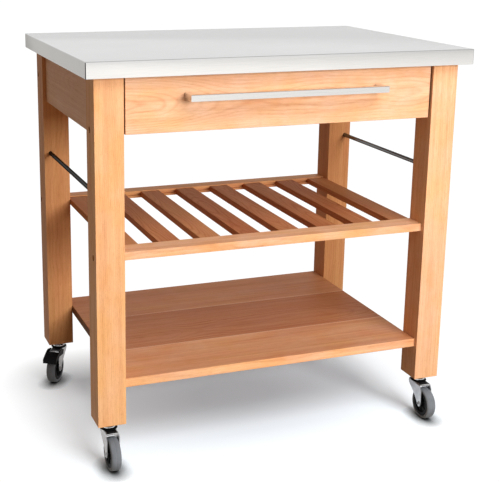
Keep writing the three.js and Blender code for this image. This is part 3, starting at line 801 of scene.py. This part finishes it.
# Radius and height of each turned part, about the swivel axis or outwards along the axle.
RACE_PROFILE = ((0, 83.6), (13.0, 83.6), (14.4, 86.2), (15.4, 87.0), (15.2, 88.0), (0, 88.0))
SEAL_PROFILE = ((11.0, 88.2), (18.6, 86.7), (19.4, 86.9), (19.6, 87.3), (19.2, 88.0), (16.6, 89.3),
                (11.0, 89.3))
COVER_PROFILE = ((11.0, 89.4), (14.2, 89.4), (15.0, 90.0), (15.2, 91.4), (15.0, 92.8), (14.0, 93.9),
                 (12.6, 94.3), (11.0, 94.3))
COLLAR_PROFILE = ((0, 94.4), (9.6, 94.4), (11.0, 94.9), (11.9, 96.0), (12.3, 97.6), (12.4, 102.6),
                  (12.1, 103.4), (11.4, 103.7), (5.1, 103.7), (4.9, 105), (4.9, 145), (4.2, 146), (0, 146))
RIVET_PROFILE = ((0, 75.9), (6.0, 76.1), (8.4, 77.3), (8.9, 79.0), (8.9, 79.2), (0, 79.2))
AXLE_END_PROFILE = ((0, 0.0), (5.4, 0.0), (5.4, 0.8), (5.0, 1.5), (4.2, 1.9), (3.2, 1.9), (3.0, 1.6),
                    (2.9, 0.6), (0, 0.6))
SOCKET_PROFILE = ((0, 0.61), (2.85, 0.61), (2.85, 1.5), (0, 1.5))
AXLE_END_SUNK = 0.05  # how far an axle end starts inside the fork's side
FORK_EDGE = 0.45 * MM
FORK_SHARP_ANGLE = 38
# Crown faces turned further up than this take the near-black zinc, a painted shade under the leg.
UPWARD = 0.95  # the least Z of a normal on the crown's flat top


def side_matrix(matrix, sign):
    """Z outwards along the axle from a fork side's outer face."""
    face = Matrix.Translation((sign * (FORK_OUTSIDE - AXLE_END_SUNK), TRAIL, AXLE_HEIGHT))
    return matrix @ face @ Matrix.Rotation(math.radians(90 * sign), 4, "Y")


def make_fork(corner, matrix, zinc_sheet, zinc_painted_shade):
    """The fork with its lower race and axle ends. The crown's flat top is painted dark: painted shade under
    the leg.
    """
    mesh = fork_mesh(f"fork_{corner}", matrix)

    def hardware(form):
        turned(form, RACE_PROFILE, matrix, steps=48)
        for sign in (-1, 1):
            turned(form, AXLE_END_PROFILE, side_matrix(matrix, sign), steps=24)

    add_solids(mesh, hardware)
    shade_smooth(mesh, FORK_SHARP_ANGLE)
    # The crown's flat top: painted shade, in near-black zinc.
    for face in mesh.polygons:
        if face.normal.z > UPWARD and face.center.z > CROWN_UNDER * MM:
            face.material_index = 1
    fork = new_piece(f"fork_{corner}", mesh, [zinc_sheet, zinc_painted_shade], f"swivel_{corner}",
                     [f"caster_fork_{corner}"])
    round_edges(fork, FORK_EDGE, 2)

    # A near-black hexagon in each axle end's recess: painted shade in its socket.
    form = bmesh.new()
    for sign in (-1, 1):
        turned(form, SOCKET_PROFILE, side_matrix(matrix, sign), steps=6)
    new_piece(f"axle_sockets_{corner}", to_mesh("sockets", form), [zinc_painted_shade], f"swivel_{corner}")


def make_collar(corner, matrix, bright_zinc, black):
    """The stem with its collar and rivet, and the race cover and seal that turn with the fork under it."""
    form = bmesh.new()
    turned(form, COLLAR_PROFILE, matrix, steps=40)
    turned(form, RIVET_PROFILE, matrix, steps=32)
    new_piece(f"collar_{corner}", to_mesh("collar", form), [bright_zinc], "frame",
              [f"caster_stem_{corner}"])
    form = bmesh.new()
    turned(form, COVER_PROFILE, matrix, steps=40)
    new_piece(f"race_cover_{corner}", to_mesh("cover", form), [bright_zinc], f"swivel_{corner}")
    form = bmesh.new()
    turned(form, SEAL_PROFILE, matrix, steps=40)
    new_piece(f"dust_seal_{corner}", to_mesh("seal", form), [black], f"swivel_{corner}")


def wheel_profile(half_points):
    """Mirrors the points of one side of a wheel part onto the other side."""
    return tuple(half_points) + tuple((radius, -height) for radius, height in reversed(half_points))


TYRE_HALF = ((30.4, 10.3), (30.9, 10.8), (31.8, 11.1), (32.1, 11.4), (33.4, 11.4), (34.8, 10.9),
             (35.9, 9.8), (36.7, 8.0), (37.2, 5.6), (37.45, 2.6), (37.5, 0.6), (37.3, 0.35))
HUB_HALF = ((4.6, 12.1), (8.6, 12.1), (9.3, 11.5), (9.6, 7.4), (20.2, 6.6), (21.2, 7.6), (22.2, 9.8),
            (23.0, 10.4), (29.7, 10.4), (30.2, 10.0))
HUB_RIBS = 6
RIB_SIZE = (14, 1.8, 18.4)  # outwards, round, and along the axle
RIB_RADIUS = 15
HUB_EDGE = 0.35 * MM


def make_wheel(corner, matrix, rubber, black):
    axle = matrix @ Matrix.Translation((0, TRAIL, AXLE_HEIGHT)) @ Matrix.Rotation(math.radians(90), 4, "Y")
    form = bmesh.new()
    turned(form, wheel_profile(TYRE_HALF), axle, steps=96)
    mesh = to_mesh("tyre", form, smooth_angle=50)
    new_piece(f"tyre_{corner}", mesh, [rubber], f"wheel_{corner}", [f"wheel_tyre_{corner}"])
    form = bmesh.new()
    turned(form, wheel_profile(HUB_HALF), axle, steps=72)
    for index in range(HUB_RIBS):
        turn = Matrix.Rotation(2 * math.pi * index / HUB_RIBS, 4, "Z")
        rib = Matrix.Translation((RIB_RADIUS, 0, 0)) @ Matrix.Diagonal((*RIB_SIZE, 1))
        bmesh.ops.create_cube(form, size=1, matrix=axle @ turn @ rib)
    mesh = to_mesh("hub", form, smooth_angle=30)
    hub = new_piece(f"hub_{corner}", mesh, [black], f"wheel_{corner}",
                    [f"wheel_hub_{corner}"])
    round_edges(hub, HUB_EDGE, 2)


# Forward and up, with the pedal pressed down.
CHEEK = ((13, 74.5), (15, 73), (40, 70), (57, 60), (65.5, 56.2), (67, 57.2), (67, 62.4), (66, 64), (50, 78),
         (43, 83), (36, 86), (15, 86), (13, 84.5))
PEDAL_INSIDE = 15.5
PEDAL_SHEET = 2.6
COVER_START = 40.5
COVER_RADIUS = 39
COVER_STEPS = 8
COVER_INSET = 0.5
PEDAL_TIP = 67
COVER_TOP = ((PEDAL_TIP, 62.4), (66, 63.6), (50, 77.2), (44, 79.6), (COVER_START, 80.3))
RIDGES = 4
RIDGE_LOW = (65.5, 64)
RIDGE_RISE = (-15.5, 13.2)  # from the tip to the top of the slope
RIDGE_FIRST = 0.12  # shares of that rise
RIDGE_STEP = 0.22
RIDGE_SLOPE = -40
RIDGE_SECTION = (1.4, 1.5)
RIDGE_MARGIN = 4
PEDAL_EDGE = 0.5 * MM
PEDAL_PIVOT = Vector((0, 20, 79))
PEDAL_LIFT = 14  # degrees off the tyre when the brake is free


def make_pedal(corner, caster, black):
    """Two cheeks beside the fork and a ridged cover over the tyre, lifted off it about the pivot."""
    lift = Matrix.Rotation(math.radians(PEDAL_LIFT), 4, "X")
    matrix = caster @ Matrix.Translation(PEDAL_PIVOT) @ lift @ Matrix.Translation(-PEDAL_PIVOT)
    outside = PEDAL_INSIDE + PEDAL_SHEET
    under = []
    for step in range(COVER_STEPS + 1):
        forward = COVER_START + (PEDAL_TIP - COVER_START) * step / COVER_STEPS
        under.append((forward, AXLE_HEIGHT + math.sqrt(COVER_RADIUS ** 2 - (forward - TRAIL) ** 2)))
    cheeks = bmesh.new()
    for start in (-outside, PEDAL_INSIDE):
        prism(cheeks, CHEEK, start, PEDAL_SHEET, matrix)
    cover = bmesh.new()
    prism(cover, tuple(under) + COVER_TOP, COVER_INSET - outside, 2 * (outside - COVER_INSET), matrix)
    mesh = combined(f"pedal_{corner}", cheeks, cover, "UNION")

    def ridges(form):
        size = Matrix.Diagonal((2 * (outside - RIDGE_MARGIN), *RIDGE_SECTION, 1))
        slope = Matrix.Rotation(math.radians(RIDGE_SLOPE), 4, "X")
        for step in range(RIDGES):
            share = RIDGE_FIRST + RIDGE_STEP * step
            forward, up = (low + rise * share for low, rise in zip(RIDGE_LOW, RIDGE_RISE))
            middle = Matrix.Translation((0, forward, up))
            bmesh.ops.create_cube(form, size=1, matrix=matrix @ middle @ slope @ size)

    add_solids(mesh, ridges)
    shade_smooth(mesh, SHARP_ANGLE)
    side = corner.split("_")[1]
    pedal = new_piece(f"pedal_{corner}", mesh, [black], f"pedal_back_{side}",
                      [f"brake_pedal_{corner}"])
    round_edges(pedal, PEDAL_EDGE, 2)


RUBBER_LIGHT = (0.185, 0.198, 0.214, 1)
RUBBER_DARK = (0.145, 0.157, 0.171, 1)
RUBBER_DUST = (0.36, 0.38, 0.40, 1)
PLASTIC_LIGHT = (0.006, 0.006, 0.007, 1)
PLASTIC_DARK = (0.003, 0.003, 0.003, 1)


def make_casters():
    sheet = zinc("zinc_fork", base=0.62, roughness=0.32)
    bright = zinc("zinc_collar", base=0.92, roughness=0.14)
    # Near-black zinc: painted shade on the crowns' tops and in the axle sockets.
    dark = zinc("painted_shade_zinc", base=0.08, roughness=0.5)
    rubber = grained("rubber_tyre", RUBBER_LIGHT, RUBBER_DARK, roughness=0.62, grain_scale=900.0,
                     strength=0.25, shine=0.3, dust=RUBBER_DUST)
    black = grained("plastic_black", PLASTIC_LIGHT, PLASTIC_DARK, roughness=0.5, grain_scale=1200.0,
                    strength=0.2, shine=0.12)
    for corner in ("front_left", "front_right", "back_left", "back_right"):
        matrix = caster_matrix(corner)
        make_fork(corner, matrix, sheet, dark)
        make_collar(corner, matrix, bright, black)
        make_wheel(corner, matrix, rubber, black)
        if corner.startswith("back"):
            make_pedal(corner, matrix, black)


# ---------------------------------------------------------------- studio

WHITE = 1.04  # the backdrop, as the camera sees it
LIGHT_TARGET = (0, 0, 0.45)
LIGHTS = (  # name, degrees to the right of -Y, elevation, distance, size, power
    ("key", 12, 21, 4.2, (1.9, 1.0), 128),
    ("overhead", 14, 50, 3.5, (2.2, 1.4), 52),
)

# The floor takes shadows and painted shade inside a rectangle round the cart, and fades to plain white
# outside it.
FLOOR_HALF = 40
SWEEP_HALF = (0.35, 0.21)
SWEEP_WIDTH = 0.22
FLOOR_SEEN = ((0.83, 0.89, 0.94, 1), (0.80, 0.86, 0.91, 1))
FLOOR_BOUNCE = (0.32, 0.25, 0.18, 1)  # what the cart is lit by from below
# Painted shade: the floor's colour is darker in the middle of an ellipse under the cart.
SHADOW_HALF = (0.50, 0.35)  # half axes of the ellipse under the cart
PAINTED_FLOOR_SHADE = (0.87, 1.22)  # in the middle of that ellipse and at its rim
# Painted shadows round what touches the floor, from ambient occlusion: how far they reach and how dark they
# are.
CONTACT_REACH = 0.035
CONTACT_STRENGTH = 2.8

# The floor as the steel mirrors it: in front from left to right, and behind.
FRONT_MIRRORED = (1.30, 1.03)
BACK_MIRRORED = 0.60
MIRRORED_BANDS = (0.90, 1.04)
MIRRORED_TINT = (1.0, 0.975, 0.945, 1)

# The walls, as a light on matt surfaces.
AMBIENT = 0.125
BACK_GLOW = 0.46
RIGHT_GLOW = 0.30
TOP_GLOW = 0.12
LEFT_TINT = (1.0, 0.68, 0.43, 1)

# The walls as the steel mirrors them.
MIRRORED_GLOW = 1.6  # how much brighter they are there
MIRRORED_AMBIENT = 0.09
FRONT_GLOW = 0.62
ZENITH_GLOW = 0.40
BACK_LEFT_SHARE = 0.75


def beyond(graph, value, half):
    """How far a coordinate is outside a half width."""
    return graph.math("MAXIMUM", graph.math("SUBTRACT", graph.math("ABSOLUTE", value), half), 0.0)


def shadowed_floor(graph, x, y, z, seen, painted_contact_shade):
    """The matt part of the floor: pale where it is seen, with painted shade under the cart and round what
    touches the floor, and warmer and darker as a light on the cart.
    """
    cloud = graph.noise(graph.vector(graph.math("MULTIPLY", x, 0.7), graph.math("MULTIPLY", y, 0.7), z))
    spread = graph.length(graph.math("DIVIDE", x, SHADOW_HALF[0]), graph.math("DIVIDE", y, SHADOW_HALF[1]))
    painted_shade = graph.math("MULTIPLY", graph.remap(spread, 0.2, 0.95, *PAINTED_FLOOR_SHADE), painted_contact_shade)
    pale = graph.mix(graph.remap(cloud, 0.3, 0.7), *FLOOR_SEEN)
    pale = graph.mix(1.0, pale, graph.vector(painted_shade, painted_shade, painted_shade), blend="MULTIPLY")
    colour = graph.mix(seen, FLOOR_BOUNCE, pale)
    return graph.add("ShaderNodeBsdfDiffuse", Color=colour, Roughness=0.5)


def white_floor(graph, x, y, by_camera, painted_contact_shade):
    """The plain white part of the floor, darkened by painted shadows round what touches it, with its own
    levels and soft bands in the steel.
    """
    front = graph.remap(x, 0.5, 5.0, *FRONT_MIRRORED)
    bands = graph.noise(graph.vector(graph.math("MULTIPLY", x, 2.2), graph.math("MULTIPLY", y, 0.1), 0.0))
    front = graph.math("MULTIPLY", front, graph.remap(bands, 0.35, 0.65, *MIRRORED_BANDS))
    mirrored = graph.remap(y, -1.5, 1.5, front, BACK_MIRRORED)
    camera_level = graph.math("MULTIPLY", by_camera, graph.math("MULTIPLY", painted_contact_shade, WHITE))
    mirror_level = graph.math("MULTIPLY", graph.math("SUBTRACT", 1.0, by_camera), mirrored)
    tint = graph.mix(by_camera, MIRRORED_TINT, WHOLE)
    level = graph.math("ADD", camera_level, mirror_level)
    return graph.add("ShaderNodeEmission", Color=tint, Strength=level)


def make_floor():
    """A pale sweep: near the cart it takes the shadows and painted shade, and further out it is plain white
    but for painted shadows round what touches it.
    """
    material, graph = new_material("floor")
    x, y, z = graph.split(graph.add("ShaderNodeTexCoord").outputs["Object"])
    rays = graph.add("ShaderNodeLightPath").outputs
    by_camera = rays["Is Camera Ray"]
    seen = graph.math("MAXIMUM", by_camera, rays["Is Glossy Ray"])
    # Painted shade: the floor darkens near what touches it.
    open_sky = graph.add("ShaderNodeAmbientOcclusion", Distance=CONTACT_REACH).outputs["AO"]
    painted_contact_shade = graph.math("POWER", open_sky, CONTACT_STRENGTH)
    matt = shadowed_floor(graph, x, y, z, seen, painted_contact_shade)
    white = white_floor(graph, x, y, by_camera, painted_contact_shade)
    distance = graph.length(beyond(graph, x, SWEEP_HALF[0]), beyond(graph, y, SWEEP_HALF[1]))
    far = graph.math("SMOOTH_MIN", graph.math("DIVIDE", distance, SWEEP_WIDTH), 1.0, 0.1)
    share = graph.math("MULTIPLY", far, seen)
    blend = graph.add("ShaderNodeMixShader")
    for socket, source in zip(blend.inputs, (share, matt.outputs[0], white.outputs[0])):
        graph.feed(socket, source)
    finish_material(graph, blend)
    form = bmesh.new()
    bmesh.ops.create_grid(form, x_segments=2, y_segments=2, size=FLOOR_HALF)
    mesh = to_mesh("floor", form)
    mesh.materials.append(material)
    floor = bpy.data.objects.new("floor", mesh)
    bpy.context.scene.collection.objects.link(floor)


def area_light(name, azimuth, elevation, distance, size, power):
    data = bpy.data.lights.new(name, "AREA")
    data.shape = "RECTANGLE"
    data.size, data.size_y = size
    data.energy = power
    turn = math.radians(azimuth)
    reach = distance * math.cos(math.radians(elevation))
    height = distance * math.sin(math.radians(elevation))
    place = Vector((reach * math.sin(turn), -reach * math.cos(turn), height))
    light = bpy.data.objects.new(name, data)
    light.location = place
    light.visible_glossy = False
    light.rotation_mode = "QUATERNION"
    light.rotation_quaternion = (Vector(LIGHT_TARGET) - place).to_track_quat("-Z", "Y")
    bpy.context.scene.collection.objects.link(light)


def make_world():
    """Soft walls all round: brightest behind and to the right, warm on the left, and white to the camera."""
    world = bpy.data.worlds.new("studio")
    bpy.context.scene.world = world
    world.use_nodes = True
    graph = Graph(world.node_tree)
    x, y, z = graph.split(graph.add("ShaderNodeTexCoord").outputs["Generated"])
    rays = graph.add("ShaderNodeLightPath").outputs
    by_camera = rays["Is Camera Ray"]
    by_mirror = rays["Is Glossy Ray"]

    back = graph.math("MULTIPLY", graph.remap(y, 0.1, 0.75), BACK_GLOW)
    right = graph.math("MULTIPLY", graph.remap(x, 0.0, 0.9), RIGHT_GLOW)
    top = graph.math("MULTIPLY", graph.remap(z, 0.1, 0.9), TOP_GLOW)
    walls = graph.math("MAXIMUM", graph.math("MAXIMUM", back, right), top)
    glow = graph.math("ADD", walls, AMBIENT)

    zenith = graph.math("MULTIPLY", graph.remap(z, 0.70, 0.95), ZENITH_GLOW)
    behind = graph.math("MULTIPLY", back, graph.remap(x, -0.30, 0.10, BACK_LEFT_SHARE, 1.0))
    walls = graph.math("MAXIMUM", graph.math("MAXIMUM", behind, right), zenith)
    walls = graph.math("ADD", walls, MIRRORED_AMBIENT)
    low = graph.remap(z, 0.1, 0.45, 1.0, 0.0)
    front = graph.math("MULTIPLY", graph.remap(y, -0.9, -0.3, FRONT_GLOW, 0.0), low)
    mirrored = graph.math("MULTIPLY", graph.math("MAXIMUM", walls, front), MIRRORED_GLOW)

    glow = graph.mix(by_mirror, glow, mirrored)
    strength = graph.math("MAXIMUM", glow, graph.math("MULTIPLY", by_camera, WHITE))
    tint = graph.mix(graph.remap(x, -0.75, -0.15), LEFT_TINT, WHOLE)
    colour = graph.mix(graph.math("MAXIMUM", by_camera, by_mirror), tint, WHOLE)
    background = graph.add("ShaderNodeBackground", Color=colour, Strength=strength)
    graph.add("ShaderNodeOutputWorld", Surface=background.outputs[0])


def make_studio():
    make_world()
    for light in LIGHTS:
        area_light(*light)
    bpy.context.scene.view_settings.view_transform = "Standard"


make_camera()
make_studio()
make_floor()
dress_wood()
dress_metal()
make_worktop()
make_casters()
